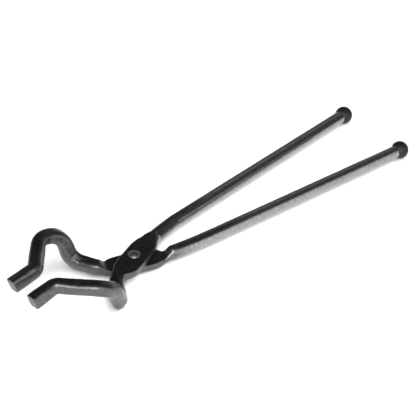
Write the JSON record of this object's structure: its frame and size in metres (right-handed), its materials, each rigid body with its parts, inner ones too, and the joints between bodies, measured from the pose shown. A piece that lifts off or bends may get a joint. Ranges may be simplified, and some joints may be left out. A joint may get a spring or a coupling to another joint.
{
  "type": "crucible tongs",
  "caption": "Riveted gooseneck tongs with forged bow jaws that clasp a hot crucible, and long round reins ending in balls.",
  "frame": {"origin": "centre of the rivet on the plane where the two bosses meet", "axes": "+X towards the reins midway between them, jaws towards -X, +Z along the rivet towards the side that the jaws rise to, +Y towards the upper half's rein"},
  "size_m": [0.4078, 0.0947, 0.0492],
  "materials": {
    "black_forged_steel": "satin black oxide scale over forged carbon steel, brighter along worn edges",
    "rivet_steel": "satin black oxide, head rubbed slightly brighter"
  },
  "bodies": {
    "lower_body": {"lower_half": "black_forged_steel", "rivet": "rivet_steel", "lower_rein_ball": "black_forged_steel"},
    "upper_body": {"upper_half": "black_forged_steel", "upper_rein_ball": "black_forged_steel"}
  },
  "joints": [
    {"name": "rivet_pivot", "type": "hinge", "parent": "lower_body", "child": "upper_body", "pos_m": [0, 0, 0], "axis": [0, 0, 1], "range_deg": [-7.7, 100]}
  ]
}
